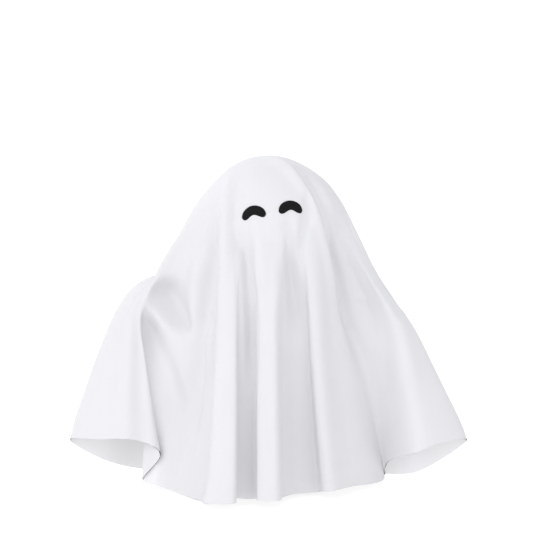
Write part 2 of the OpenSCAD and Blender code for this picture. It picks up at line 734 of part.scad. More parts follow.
// Places on the arms: the left one is turned to point to -X
module on_left_arm() at_xz(left_shoulder) rotate([0, left_arm_angle, 0]) rotate(180) children();
module on_right_arm() at_xz(right_shoulder) rotate([0, right_arm_angle, 0]) children();

module left_arm_lever() color("ivory") difference() {
    union() {
        on_left_arm() lever_body();
        at_xz(left_shoulder) along_y(-gear_t / 2, gear_t / 2)
            wedge_2d(gear_module, arm_teeth, 0, -pinion_steps - spare_steps, swing_steps + spare_steps);
    }
    on_left_arm() lever_bores();
}

module left_arm_rod() color("silver") on_left_arm() rod();
module left_hand() color("white") on_left_arm() hand();

module right_arm_lever() color("ivory") difference() {
    union() {
        on_right_arm() lever_body();
        at_xz(right_shoulder) along_y(-gear_t / 2, gear_t / 2) {
            wedge_2d(gear_module, arm_teeth, 180 + tooth_step / 2,
                -swing_steps - spare_steps, spare_steps - 1);
            wedge_2d(gear_module, arm_teeth, head_bearing, -swing_steps - spare_steps, spare_steps);
        }
    }
    on_right_arm() lever_bores();
}

module right_arm_rod() color("silver") on_right_arm() rod();
module right_hand() color("white") on_right_arm() hand();

module on_head() at_xz(head_pivot) rotate([0, -head_roll, 0]) children();

module head_gear() color("ivory") difference() {
    union() {
        at_xz(head_pivot) along_y(-gear_t / 2, gear_t / 2)
            wedge_2d(gear_module, head_teeth, head_bearing + 180 + 180 / head_teeth,
                -spare_steps - 1, swing_steps + spare_steps - 1);
        at_xz(head_pivot) bar_y(hub_r, -hub_l / 2, hub_l / 2);
        on_head() translate([-carrier_w / 2, -gear_t / 2, 0]) cube([carrier_w, gear_t, carrier_top]);
    }
    at_xz(head_pivot) bar_y(pin_d / 2 + run_gap, -plate_in, plate_in);
    on_head() for (side = [-1, 1]) at_xz([side * dome_screw_x, dome_screw_z])
        bar_y(screw_d / 2 + run_gap, -gear_t, gear_t);
}

module head_dome() color("white") on_head() difference() {
    union() {
        difference() {
            sphere(dome_r);
            sphere(dome_r - dome_wall);
        }
        intersection() {
            sphere(dome_r - dome_wall / 2);
            translate([-block_x, -block_y, block_rise]) cube([2 * block_x, 2 * block_y, dome_r]);
        }
    }
    translate([-2 * dome_r, -2 * dome_r, -2 * dome_r - dome_skirt])
        cube([4 * dome_r, 4 * dome_r, 2 * dome_r]);
    translate([-carrier_w / 2 - seat_gap, -gear_t / 2 - seat_gap, 0])
        cube([carrier_w + 2 * seat_gap, gear_t + 2 * seat_gap, carrier_top + seat_gap]);
    for (side = [-1, 1]) at_xz([side * dome_screw_x, dome_screw_z])
        bar_y(screw_d / 2 + run_gap, -2 * block_y, block_y + 1);
}

module dome_screws() color("silver") on_head() for (side = [-1, 1])
    at_xz([side * dome_screw_x, dome_screw_z]) translate([0, -block_y, 0]) rotate([90, 0, 0])
        screw(screw_d, 2 * block_y - 1, screw_head_r, screw_head_h);

// Eye outline: a half disc with round ends and a hollow lower edge
module eye_2d() {
    hollow_x = eye_r - 2 * eye_end_r;
    hollow_r = (pow(hollow_x, 2) + pow(eye_notch, 2)) / (2 * eye_notch);
    difference() {
        union() {
            intersection() {
                circle(eye_r);
                translate([-eye_r, 0]) square([2 * eye_r, eye_r]);
            }
            for (side = [-1, 1]) translate([side * (eye_r - eye_end_r), 0]) circle(eye_end_r);
        }
        translate([0, eye_notch - hollow_r]) circle(hollow_r);
    }
}

// Eye on the sheet's round, a side from the face's middle
module eye(side, lean) on_head() rotate(face_turn + side * eye_spread) rotate([-eye_rise, 0, 0])
    intersection() {
        difference() {
            sphere(sheet_out_r + seat_gap + eye_t);
            sphere(sheet_out_r + seat_gap);
        }
        rotate([0, lean, 0]) along_y(-2 * sheet_out_r, 0) translate([0, -eye_r / 2]) eye_2d();
    }

module left_eye() color("black") eye(-1, 0);
module right_eye() color("black") eye(1, right_eye_droop);

// Sheet: each rib hugs the dome, leaves it on a tangent and runs straight to the hem.
// Ribs near a hand are lifted to pass over it.
function reach_of(shoulder, a) = [shoulder[0] + arm_length * cos(a), 0, shoulder[1] + arm_length * sin(a)];
function hand_at(w) =
    w == 0 ? reach_of(left_shoulder, 180 - left_arm_angle) : reach_of(right_shoulder, -right_arm_angle);
function over_hand(w, a) =
    hand_at(w) + (hand_r + hand_ease) * unit([2 * w - 1, (a - wing_angles[w]) * (2 * w - 1) / wing_fan, 1]);
function hem_at(rib) = outward(rib[1]) * (base_r + rib[2]) + [0, 0, rib[3]];
function pull(rib, w) = exp(-pow((rib[0] - wing_angles[w]) / wing_spread, wing_edge));
function leave_angle(p) =
    let (r = norm([p[0], p[1]]), drop = head_z - p[2])
    90 + atan2(drop, r) - acos(sheet_in_r / norm([r, drop]));
function on_cap(rib, a) = [0, 0, head_z] + sheet_in_r * (outward(rib[0]) * sin(a) + [0, 0, cos(a)]);
function clear_of(p, h) = h + unit(p - h) * max(norm(p - h), hand_r + hand_ease);
function rib_line(rib) =
    let (w = abs(rib[0] - wing_angles[0]) < abs(rib[0] - wing_angles[1]) ? 0 : 1, k = pull(rib, w))
    let (hem = hem_at(rib), knee = over_hand(w, rib[0]))
    let (a = leave_angle(blend(hem, knee, k)), top = on_cap(rib, a))
    let (bend = (top[2] - knee[2]) / (top[2] - hem[2]), lift = k * (knee - blend(top, hem, bend)))
    concat(
        [for (i = [1:cap_rows]) on_cap(rib, a * i / cap_rows)],
        [for (s = [bend / 2, bend, blend(bend, 1, 1 / 3), blend(bend, 1, 2 / 3), 1])
            let (tent = s < bend ? s / bend : (1 - s) / (1 - bend))
            clear_of(blend(top, hem, s) + lift * tent, hand_at(w))]
    );

// How far twice a point stands out from the figure's upright axis below the head's middle
function stands_out(p) = norm(p - [0, 0, min(p[2], 2 * head_z)]);

module sheet() color("whitesmoke") {
    columns = len(ribs);
    apex = [0, 0, head_z + sheet_in_r];
    inner = [for (rib = ribs) rib_line(rib)];
    rows = len(inner[0]);
    outer = [for (i = [0:columns - 1]) [for (j = [0:rows - 1])
        let (across = inner[(i + 1) % columns][j] - inner[(i + columns - 1) % columns][j])
        let (down = inner[i][min(j + 1, rows - 1)] - (j == 0 ? apex : inner[i][j - 1]))
        inner[i][j] + sheet_t * unit(cross(down, across))]];
    side = columns * rows;
    points = concat([for (c = inner) each c], [for (c = outer) each c], [apex, apex + [0, 0, sheet_t]]);
    quads = [for (i = [0:columns - 1], j = [0:rows - 2])
        [i * rows + j, (i + 1) % columns * rows + j, (i + 1) % columns * rows + j + 1, i * rows + j + 1]];
    split = [for (q = quads) each
        stands_out(points[q[0]] + points[q[2]]) > stands_out(points[q[1]] + points[q[3]])
        ? [[q[0], q[1], q[2]], [q[0], q[2], q[3]]] : [[q[0], q[1], q[3]], [q[1], q[2], q[3]]]];
    faces = concat(
        [for (t = split) [t[2], t[1], t[0]]],
        [for (t = split) t + [side, side, side]],
        [for (i = [0:columns - 1]) let (a = i * rows, b = (i + 1) % columns * rows)
            each [[2 * side, a, b], [2 * side + 1, side + b, side + a]]],
        [for (i = [0:columns - 1]) let (a = i * rows + rows - 1, b = (i + 1) % columns * rows + rows - 1)
            each [[a, side + b, b], [a, side + a, side + b]]]
    );
    polyhedron(points = points, faces = faces);
}

base_housing();
base_cover();
rubber_feet();
cover_screws();
battery_door();
battery_cells();
battery_contacts();
ballast_plate();
circuit_board();
board_components();
board_screws();
switch_body();
switch_knob();
push_button();
button_spring();
lead_grommet();
motor_leads();
front_spine_plate();
rear_spine_plate();
plate_screws();
spacer_posts();
stop_sleeves();
shoulder_pins();
head_pin();
wheel_pin();
pivot_clips();
motor_can();
motor_end_bell();
motor_terminals();
motor_screws();
motor_shaft();
motor_gear();
drive_wheel();
left_arm_lever();
left_arm_rod();
left_hand();
right_arm_lever();
right_arm_rod();
right_hand();
head_gear();
head_dome();
dome_screws();
left_eye();
right_eye();
sheet();
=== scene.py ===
import json
import math

import bpy
import numpy as np
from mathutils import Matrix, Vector
from mathutils.bvhtree import BVHTree

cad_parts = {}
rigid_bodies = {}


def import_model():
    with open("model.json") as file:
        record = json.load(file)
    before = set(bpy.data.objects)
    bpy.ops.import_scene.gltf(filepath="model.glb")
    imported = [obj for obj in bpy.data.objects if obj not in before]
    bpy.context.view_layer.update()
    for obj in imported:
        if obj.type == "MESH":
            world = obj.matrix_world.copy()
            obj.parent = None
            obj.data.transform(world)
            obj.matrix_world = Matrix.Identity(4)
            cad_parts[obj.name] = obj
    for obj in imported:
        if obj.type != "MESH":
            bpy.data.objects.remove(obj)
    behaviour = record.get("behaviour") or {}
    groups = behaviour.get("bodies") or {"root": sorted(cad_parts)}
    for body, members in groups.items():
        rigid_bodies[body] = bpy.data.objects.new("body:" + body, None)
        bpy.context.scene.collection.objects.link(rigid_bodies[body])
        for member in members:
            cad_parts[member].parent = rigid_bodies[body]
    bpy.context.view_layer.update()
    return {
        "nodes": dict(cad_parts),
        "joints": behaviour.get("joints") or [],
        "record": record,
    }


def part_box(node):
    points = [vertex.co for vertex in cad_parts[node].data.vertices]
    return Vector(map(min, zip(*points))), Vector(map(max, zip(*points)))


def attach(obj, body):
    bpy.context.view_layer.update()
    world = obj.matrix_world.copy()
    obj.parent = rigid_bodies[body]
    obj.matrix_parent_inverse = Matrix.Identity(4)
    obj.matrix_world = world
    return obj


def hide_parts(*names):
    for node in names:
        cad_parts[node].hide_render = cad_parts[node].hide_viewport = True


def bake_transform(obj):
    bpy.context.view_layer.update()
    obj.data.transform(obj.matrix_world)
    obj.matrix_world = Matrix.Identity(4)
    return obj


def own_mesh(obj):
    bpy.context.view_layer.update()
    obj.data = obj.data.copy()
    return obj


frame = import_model()
mm = 0.001
joints = {joint["name"]: joint for joint in frame["joints"]}
print("frame loaded:", len(frame["nodes"]), "nodes")

# Camera at the photo's angle. Its image plane is scaled by the photo's own scale.
photoView = {
    "pixels": 533,  # width and height of the frame
    "pixelSize": 0.85 * mm,  # real size of a pixel at the figure's middle
    "distance": 5.0,
    "elevation": math.radians(12),
    "aim": (-1.7 * mm, 0.0, 188.8 * mm),  # point at the middle of the frame
}
viewBack = np.array([0, -math.cos(photoView["elevation"]), math.sin(photoView["elevation"])])
viewUp = np.array([0, math.sin(photoView["elevation"]), math.cos(photoView["elevation"])])
viewFrom = np.array(photoView["aim"]) + photoView["distance"] * viewBack
focalPixels = photoView["distance"] / photoView["pixelSize"]


def makeCamera():
    lens = bpy.data.cameras.new("photo_camera")
    lens.sensor_width = 36
    lens.lens = lens.sensor_width * focalPixels / photoView["pixels"]
    lens.clip_start, lens.clip_end = 0.05, 60
    camera = bpy.data.objects.new("photo_camera", lens)
    bpy.context.scene.collection.objects.link(camera)
    camera.location = Vector(viewFrom)
    camera.rotation_mode = "QUATERNION"
    camera.rotation_quaternion = Vector(-viewBack).to_track_quat("-Z", "Y")
    bpy.context.scene.camera = camera


# Pixel of a point in the photo's frame: its offsets right and up, over its depth, times the focal length
def photoPixel(points):
    away = points - viewFrom
    depth = -away @ viewBack
    middle = photoView["pixels"] / 2
    right, up = focalPixels * away[..., 0] / depth, focalPixels * (away @ viewUp) / depth
    return np.stack([middle + right, middle - up], -1)


makeCamera()
print("camera placed")


# Shader maths: a Wire is one output socket, and sums or products with it add Math nodes
class Wire:
    def __init__(self, finish, socket):
        self.finish = finish
        self.socket = socket

    def math(self, operation, first, second=0.0):
        return self.finish.node("ShaderNodeMath", {"operation": operation}, {0: first, 1: second})

    def __add__(self, other):
        return self.math("ADD", self, other)

    def __radd__(self, other):
        return self.math("ADD", other, self)

    def __mul__(self, other):
        return self.math("MULTIPLY", self, other)

    def __rmul__(self, other):
        return self.math("MULTIPLY", other, self)

    def sine(self):
        return self.math("SINE", self)

    def size(self):
        return self.math("ABSOLUTE", self)


# A finish is one material: node() makes any node, surface() sets the shader's sockets
class Finish:
    def __init__(self, name):
        self.material = bpy.data.materials.new(name)
        self.material.use_nodes = True
        self.tree = self.material.node_tree
        self.shader = self.tree.nodes["Principled BSDF"]

    def put(self, socket, value):
        if isinstance(value, Wire):
            self.tree.links.new(value.socket, socket)
        else:
            socket.default_value = value

    def node(self, kind, settings=None, sockets=None, out=0):
        made = self.tree.nodes.new(kind)
        for name, value in (settings or {}).items():
            setattr(made, name, value)
        for name, value in (sockets or {}).items():
            self.put(made.inputs[name], value)
        return Wire(self, made.outputs[out])

    def place(self, uv=None):
        if uv:
            return self.node("ShaderNodeUVMap", {"uv_map": uv})
        return self.node("ShaderNodeTexCoord", out="Object")

    def noise(self, where, scale, detail, roughness):
        return self.node("ShaderNodeTexNoise", {}, {"Vector": where, "Scale": scale, "Detail": detail,
                                                    "Roughness": roughness})

    def mix(self, share, first, second):
        sockets = {0: share, 6: (*first, 1), 7: (*second, 1)}  # 6 and 7 take the two colours
        return self.node("ShaderNodeMix", {"data_type": "RGBA"}, sockets, out=2)

    def split(self, where):
        parts = self.node("ShaderNodeSeparateXYZ", {}, {"Vector": where}).socket.node
        return Wire(self, parts.outputs["X"]), Wire(self, parts.outputs["Y"])

    def bump(self, height, depth, strength):
        return self.node("ShaderNodeBump", {}, {"Height": height, "Distance": depth, "Strength": strength})

    def surface(self, **sockets):
        for name, value in sockets.items():
            self.put(self.shader.inputs[name.replace("_", " ")], value)
        return self.material


# Sheet finish: a fine knit on the flat cloth's own coordinates, with soft lint and a faint sheen
knit = {
    "pitch": 0.8 * mm,
    "white": (0.69, 0.688, 0.7),
    "shade": (0.66, 0.66, 0.675),
    "through": 0.22,  # painted light: the inner face glows by this much, standing in for light through the cloth
    "lint": 900,  # scales of the two noises, per metre
    "mottle": 40,
    "depth": 0.12 * mm,
}


# The painted glow, which stands in for light through the cloth, is all over an inner face, or only where the
# named attribute says
def sheetFinish(name, glow, paintedGlowBy=None):
    finish = Finish(name)
    flat = finish.place("flatCloth")
    across, along = finish.split(flat)
    turns = 2 * math.pi / knit["pitch"]
    rows = (along * turns + (across * turns * 0.5).sine()).sine() * 0.5 + 0.5
    loops = (across * turns).sine().size() * rows
    lint = finish.noise(flat, knit["lint"], 3, 0.6)
    mottle = finish.noise(flat, knit["mottle"], 3, 0.55)
    colour = finish.mix(mottle * 0.55 + loops * 0.25, knit["shade"], knit["white"])
    height = loops * 0.7 + lint * 0.5
    paintedGlow = (*knit["white"], 1)
    if paintedGlowBy:
        share = finish.node("ShaderNodeAttribute", {"attribute_name": paintedGlowBy}, out="Fac")
        paintedGlow = finish.mix(share, (0, 0, 0), knit["white"])
    return finish.surface(Base_Color=colour, Roughness=lint * 0.12 + 0.84,
                          Normal=finish.bump(height, knit["depth"], 0.45),
                          Sheen_Weight=0.1, Sheen_Roughness=0.5, Specular_IOR_Level=0.2,
                          Emission_Color=paintedGlow, Emission_Strength=glow)


# A smooth mesh from arrays of points and faces, at the origin, with one material
def addMesh(name, points, faces, material):
    mesh = bpy.data.meshes.new(name)
    mesh.from_pydata(points.tolist(), [], [list(face) for face in faces])
    mesh.materials.append(material)
    mesh.polygons.foreach_set("use_smooth", np.ones(len(mesh.polygons), bool))
    mesh.update()
    made = bpy.data.objects.new(name, mesh)
    bpy.context.scene.collection.objects.link(made)
    return made


# Flat coordinates of each vertex, in metres, as a UV map
def addFlat(made, name, flat):
    layer = made.data.uv_layers.new(name=name)
    corner = np.empty(len(made.data.loops), int)
    made.data.loops.foreach_get("vertex_index", corner)
    layer.data.foreach_set("uv", flat[corner].astype(np.float32).ravel())


def unit(vectors):
    return vectors / np.maximum(np.linalg.norm(vectors, axis=-1, keepdims=True), 1e-12)


# 3t^2 - 2t^3 between two values
def ease(low, high, x):
    t = np.clip((x - low) / (high - low), 0, 1)
    return t * t * (3 - 2 * t)


# Closed smooth curve through rows of values: the cubic whose slope at a row is half the difference of its
# neighbours. A column gains its turn each time round.
def closedCurve(rows, t, turn):
    count = len(rows)
    index = np.floor(t).astype(int)
    f = (t - index)[:, None]

    def at(k):
        return rows[k % count] + np.outer(np.floor_divide(k, count), turn)

    a, b, c, d = at(index - 1), at(index), at(index + 1), at(index + 2)
    return 0.5 * (2 * b + (c - a) * f + (2 * a - 5 * b + 4 * c - d) * f**2 + (3 * b - a - 3 * c + d) * f**3)


# Sheet. A rib per crest, valley or bend of the hem: angle on the head, angle at the hem (degrees from the
# front towards the right), hem's distance from the base's side and hem's height (mm).
sheetCut = {
    "ribs": [
        [-66, -72.2, 45.5, 5], [-53, -64, 37, 2], [-46, -52, 40, 2], [-40, -30, 53, 5], [-34, -18, 52, 6],
        [-29, -16, 44, 6], [-23, -19, 35, 7], [-17.5, -13.5, 27, 5], [-11.5, -7.6, 25, 5], [-8, -6, 37, 7],
        [-1, 0, 40, 7], [5, 6, 38, 7], [13, 11, 15, 4], [20, 24, 4, 3], [28, 42, 9, 3], [34, 41, 23, 7],
        [43, 64, 28, 5.5], [54, 88, 44, 2.6], [60, 88.8, 45, 12], [68, 84.5, 50.5, 22], [76, 73.8, 75, 34.4],
        [84, 80, 96.3, 41], [91, 90, 115.5, 36.5], [99, 96, 86, 11.5], [106, 99, 61, 3], [114, 110, 16, 5],
        [124, 124, 54, 4], [133, 136, 52, 4], [141, 145, 10, 5], [151, 157, 56, 7], [160, 168, 58, 7],
        [169, 178, 10, 7], [177, 190, 12, 7], [187, 200, 56, 7], [196, 211, 56, 7], [205, 220, 10, 6],
        [214, 230, 54, 4], [223, 240, 52, 4], [231, 248, 16, 5], [239, 253, 58, 4], [252, 262, 88, 15],
        [262, 270, 115.5, 37], [272, 279.7, 88, 42.2], [281, 285.9, 61.3, 44.3], [287, 289.9, 43.2, 32.9],
        [291, 283.4, 55.5, 9.3],
    ],
    "columns": 552,
    "capRows": 28,
    "dropRows": 88,
    "thickness": 1.2 * mm,
    "easeOverDome": 2.5 * mm,  # from the dome to the sheet's outer face
    "easeOverHand": 1.7 * mm,
    "swell": {"hand": 10, "lever": 8, "head": 60},  # powers of keepOff: the higher, the harder
    "hug": 0.984,  # of the cap's radius, the nearest that a fold comes to the head's middle
    "smoothing": (4, 1),  # passes after the folds and at the end
    "leverTip": (77 * mm, 0, 163 * mm),  # the right arm's joint with its rod, when raised
    "leverRoom": 8.2 * mm,
    "wingAngle": (262, 91),  # a wing's middle on the head, left and right
    "wingSpread": (17, 6),  # degrees, and the power that squares the bell
    "frontFolds": (1, 17),  # ribs whose folds start at the brow
    "frontEase": 1.5,  # ribs over which they come in
    "foldWidth": 2.2,  # ribs that the plain hem is softened over
    "foldPower": 1.5,  # how early a front fold is at its full depth
    "tucks": [  # between two ribs, folds that start part of the way down, from a plain hem with this bow
        {"ribs": (43, 47), "bow": (-4, 12, 0), "start": 0.2, "power": 1.1},
        {"ribs": (16, 20), "bow": (-2, 6, 0), "start": 0.0, "power": 1.3},
    ],
    "wingBump": (  # heights, and how far the sheet stands out there from its straight fall (mm), left, right
        ((36, 0), (43, 3), (57, 6.8), (71, 9.4), (85, 12.2), (100, 15), (113, 17), (126, 19), (140, 20),
         (154, 19.5), (161, 17), (168, 14), (175, 8), (182, 0.8), (188, 0), (300, 0)),
        ((36, 0), (45, 2.6), (57, 3.8), (71, 4.6), (100, 6.3), (120, 7.6), (134, 7.4), (147, 6), (160, 4),
         (175, 1.2), (190, 0), (300, 0)),
    ),
    "tent": (  # the same between head and hands, where the sheet hangs clear of the head
        ((180, 0), (189, 1.8), (196, 3), (210, 4.4), (224, 5), (238, 4.6), (245, 3.8), (252, 2.4),
         (259, 0.9), (266, 0)),
        ((160, 0), (175, 1), (189, 2.2), (203, 3.6), (217, 4.6), (231, 5.7), (238, 6), (245, 5.7),
         (252, 4.9), (259, 3.6), (268, 1.4), (276, 0)),
    ),
    "tentSpread": (38, 4),
    "bumpWay": (0.87, 0, 0.5),  # outwards and up, the way that both stand out
    "pleatRibs": (44, 45.3),  # the left pleat's return
    # painted light: the left pleat's cloth glows, to lift the shade in its cleft
    "pleatLight": {"rib": 45.7, "width": 0.55, "strength": 0.13, "fade": (105 * mm, 145 * mm)},
    "shoulders": {  # where a rib passes a hand (mm): the cloth hangs from there as from a tent pole
        39: (-100, 15, 152), 40: (-115, 10, 164), 42: (-116, -9, 163), 43: (-111, -13, 159),
        44: (-107, -16, 156), 45: (-99, -14, 150), 0: (-84, -20, 138), 17: (74, -19, 118), 18: (83, -13, 124),
        19: (96, -14, 134), 20: (107, -17, 142), 21: (113, -9, 147), 23: (113, 9, 147), 24: (103, 13, 138),
    },
    "shoulderBend": 6,  # the higher, the sharper a rib bends there
    "headBlend": {  # heights at which the cloth starts to go with the head, and goes wholly
        "side": (212 * mm, 262 * mm),
        "front": (130 * mm, 233 * mm),
        "between": 25,  # degrees from a wing's seam to the front's heights
    },
    "seamAngle": 36,  # the wing pieces' half width on the head
    "seamHeight": 212 * mm,
    "handHold": {"width": 12, "above": 12 * mm},  # goes wholly with a hand: degrees, and up from its middle
    "hemShare": 0.72,  # how much of the arm's turn the hem below a hand takes
}
# Smaller folds that the photo shows, along a line of the photo's pixels: half width and depth in mm at the
# line's two ends, valleys below 0
foldLines = [
    {"name": "hollow under the left arm", "width": (11, 7), "depth": (-14, -13),
     "line": [(160, 278), (169, 296), (177, 316), (187, 342)]},
    {"name": "pull from the left hand", "width": (3.5, 5), "depth": (3, 4.5),
     "line": [(138, 296), (155, 313), (172, 331), (194, 341)]},
    {"name": "hollow below that pull", "width": (4.5, 15), "depth": (-10, -12),
     "line": [(142, 300), (152, 338), (163, 372), (171, 402), (178, 450)]},
    {"name": "hollow beside the left crest", "width": (9, 11), "depth": (-9, -26),
     "line": [(203, 330), (200, 390), (197, 430), (193, 475), (188, 530)]},
    {"name": "edge from the left hand to the hem", "width": (3, 4), "depth": (2, 2.5),
     "line": [(139, 290), (143, 330), (147, 380), (153, 440), (160, 520)]},
    {"name": "bend of the left wing", "width": (5, 8), "depth": (3, 5),
     "line": [(137, 285), (131, 330), (128, 385), (127, 430), (127, 540)]},
    {"name": "left valley", "width": (5, 8), "depth": (-6, -9),
     "line": [(219, 205), (213, 257), (208, 307), (204, 342), (201, 380)]},
    {"name": "panel beside it", "width": (7, 5), "depth": (4, 5),
     "line": [(201, 250), (195, 290), (194, 320), (195, 345)]},
    {"name": "left crest", "width": (6, 8), "depth": (3, 4),
     "line": [(229, 178), (227, 205), (225, 250), (221, 300), (217, 350)]},
    {"name": "valley from the left eye", "width": (4, 5), "depth": (-4, -6),
     "line": [(243, 192), (243, 215), (246, 245), (248, 280), (251, 320), (251, 400)]},
    {"name": "brow crest", "width": (4, 5.5), "depth": (4, 4),
     "line": [(233, 160), (230, 184), (228, 206), (226, 250), (225, 290)]},
    {"name": "brow valley", "width": (3, 4), "depth": (-3, -2.5),
     "line": [(245, 178), (243, 194), (242, 212), (244, 240), (246, 270)]},
    {"name": "cheek crest", "width": (5, 7), "depth": (1.4, 1.6),
     "line": [(254, 212), (256, 236), (259, 262), (262, 300)]},
    {"name": "middle crest", "width": (8, 8), "depth": (2.5, 2.5),
     "line": [(262, 232), (264, 262), (266, 300)]},
    {"name": "streak under the right eye", "width": (3.5, 7), "depth": (-6, -7),
     "line": [(288, 206), (290, 232), (291, 256), (296, 295), (301, 350)]},
    {"name": "tick beside the right eye", "width": (2.6, 3.2), "depth": (-5, -5),
     "line": [(306, 186), (307, 202), (306, 220), (302, 240), (300, 262)]},
    {"name": "edge of the cheek", "width": (4, 6), "depth": (1.5, 2.5),
     "line": [(302, 212), (294, 226), (284, 246), (278, 275), (276, 320)]},
    {"name": "band beside the left crest", "width": (4.5, 4.5), "depth": (-3.5, -3),
     "line": [(239, 176), (238, 205), (238, 232), (240, 268)]},
    {"name": "edge of the left crest", "width": (6, 8), "depth": (4, 6),
     "line": [(219, 330), (215, 395), (211, 435), (208, 475), (205, 580)]},
    {"name": "right crest", "width": (6, 9), "depth": (3, 4),
     "line": [(310, 192), (315, 230), (316, 270), (318, 345), (323, 420), (331, 490), (344, 600)]},
    {"name": "crease down the right", "width": (2.8, 6), "depth": (-7, -12),
     "line": [(255, 138), (296, 164), (315, 190), (325, 212), (332, 237), (342, 275), (350, 315),
              (360, 352), (370, 395)]},
    {"name": "fold beside the crease", "width": (4.5, 5), "depth": (4.5, 3.5),
     "line": [(250, 142), (288, 168), (307, 192), (316, 213), (323, 238), (333, 276), (341, 316)]},
    {"name": "hollow above the right hand", "width": (8, 12), "depth": (-6, -13.5),
     "line": [(336, 200), (346, 238), (353, 266), (361, 292), (369, 318), (378, 352)]},
    {"name": "fall from the right hand", "width": (12, 15), "depth": (2, 3),
     "line": [(402, 310), (403, 345), (404, 400)]},
]
foldShape = {
    "turned": 0.4,  # how far the face turns to the front where a fold is at full depth
    "grown": 0.25,  # share of its line at which it has grown
    "dying": 0.65,  # and from which it dies out
}
sheetIn = {"headZ": joints["head_tilt"]["pos_m"][2], "baseR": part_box("base_housing")[1][0]}
sheetIn["capR"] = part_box("head_dome")[1][2] - sheetIn["headZ"] + sheetCut["easeOverDome"]
headMiddle = np.array([0, 0, sheetIn["headZ"]])


# Hand's middle and radius from its box: the outer end less the radius
def handBall(node, side):
    low, high = (np.array(corner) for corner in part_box(node))
    radius = (high[2] - low[2]) / 2
    outer = high[0] - radius if side > 0 else low[0] + radius
    return np.array([outer, (low[1] + high[1]) / 2, (low[2] + high[2]) / 2]), radius


hands = [handBall("left_hand", -1), handBall("right_hand", 1)]


# Hem point of each rib value: its distance from the base's side, turned to its angle
def hemPoints(values):
    turn = np.radians(values[:, 1])
    reach = sheetIn["baseR"] + values[:, 2] * mm
    return np.stack([np.sin(turn) * reach, -np.cos(turn) * reach, values[:, 3] * mm], -1)


# Weighted mean of a closed row of points with its neighbours, by a bell of the given half width in columns
def softened(points, width):
    reach = int(3 * width)
    steps = np.arange(-reach, reach + 1)
    bell = np.exp(-0.5 * (steps / width) ** 2)
    return sum(b * np.roll(points, -k, 0) for k, b in zip(steps, bell / bell.sum()))


# Degrees from each column to a wing's own angle on the head
def fromWing(headAngle, wing):
    return (headAngle - wing + 180) % 360 - 180


# Ribs near a hand move to pass their shoulder point there. The move grows from none at the top to all of it
# at that point and dies out at the hem, as the lesser of two straight lines, rounded.
def passHands(fallen, fall, t, perRib):
    count = len(sheetCut["ribs"])
    moves = np.tile([0.0, 0.0, 0.0, 0.4], (count, 1))  # no move, and a place on the way down for the curve
    for rib, shoulder in sheetCut["shoulders"].items():
        path = fallen[:, int(rib * perRib)]
        goal = np.array(shoulder) * mm
        at = np.interp(-goal[2], -path[:, 2], fall[:, 0])
        there = np.stack([np.interp(at, fall[:, 0], path[:, k]) for k in range(3)])
        moves[rib] = [*(goal - there), at]
    values = closedCurve(moves, t, [0, 0, 0, 0])
    up, down = fall / values[:, 3], (1 - fall) / (1 - values[:, 3])
    bend = sheetCut["shoulderBend"]
    grown = 2 ** (1 / bend) * (up**-bend + np.maximum(down, 1e-6) ** -bend) ** (-1 / bend)
    return fallen + grown[..., None] * values[:, :3]


# Beside the wings the sheet stands out from its straight fall, by a table of heights: a bell round each wing
def standOut(points, headAngle, table, spread):
    width, power = sheetCut[spread]
    for side, wing, stand in zip((-1, 1), sheetCut["wingAngle"], sheetCut[table]):
        near = np.exp(-np.abs(fromWing(headAngle, wing) / width) ** power)
        heights, stands = np.array(stand).T * mm
        reach = np.interp(points[..., 2], heights, stands) * near
        points = points + reach[..., None] * (np.array(sheetCut["bumpWay"]) * [side, 1, 1])
    return points


# Points of the sheet's outer face, one row per ring. A rib hugs the dome to where its straight fall to the
# plain hem is a tangent. On the way down it leaves that fall for its own hem point: early for a front fold,
# late for a tuck.
def sheetPoints():
    ribs = np.array(sheetCut["ribs"], float)
    perRib = sheetCut["columns"] / len(ribs)
    t = np.arange(sheetCut["columns"]) / perRib
    values = closedCurve(ribs, t, [360, 360, 0, 0])
    headAngle, hem = values[:, 0], hemPoints(values)
    (first, last), soft = sheetCut["frontFolds"], sheetCut["frontEase"]
    front = ease(first, first + soft, t) * (1 - ease(last - soft, last, t))
    plain = hem + front[:, None] * (softened(hem, sheetCut["foldWidth"] * perRib) - hem)
    fall = (np.arange(1, sheetCut["dropRows"] + 1) / sheetCut["dropRows"])[:, None]
    own = fall + front * (1 - (1 - fall) ** sheetCut["foldPower"] - fall)
    for tuck in sheetCut["tucks"]:
        a, b = tuck["ribs"]
        share = ((t - a) % len(ribs)) / (b - a)
        ends = hemPoints(closedCurve(ribs, np.array([a, b], float), [360, 360, 0, 0]))
        bow = np.outer(np.sin(np.pi * share), tuck["bow"]) * mm
        straight = ends[0] + (ends[1] - ends[0]) * share[:, None] + bow
        late = np.clip((fall - tuck["start"]) / (1 - tuck["start"]), 0, 1) ** tuck["power"]
        plain = np.where(share[:, None] < 1, straight, plain)
        own = np.where(share < 1, late, own)
    headZ, capR = sheetIn["headZ"], sheetIn["capR"]
    reach, drop = np.hypot(plain[:, 0], plain[:, 1]), headZ - plain[:, 2]
    leave = np.pi / 2 + np.arctan2(drop, reach) - np.arccos(capR / np.hypot(reach, drop))
    turn = np.radians(headAngle)
    outward = np.stack([np.sin(turn), -np.cos(turn), np.zeros_like(turn)], -1)
    rise = leave * (np.arange(1, sheetCut["capRows"] + 1) / sheetCut["capRows"])[:, None]
    upward = np.array([0, 0, 1]) * np.cos(rise)[..., None]
    cap = headMiddle + capR * (outward * np.sin(rise)[..., None] + upward)
    fallen = cap[-1] + (plain - cap[-1]) * fall[..., None] + (hem - plain) * own[..., None]
    fallen = standOut(fallen, headAngle, "wingBump", "wingSpread")
    rows = np.concatenate([cap, passHands(fallen, fall, t, perRib)])
    return standOut(rows, headAngle, "tent", "tentSpread"), headAngle


# Normal of a closed grid: down its rows, crossed with across its columns
def gridNormals(points):
    across = np.roll(points, -1, 1) - np.roll(points, 1, 1)
    down = np.gradient(points, axis=0)
    return unit(np.cross(down, across))


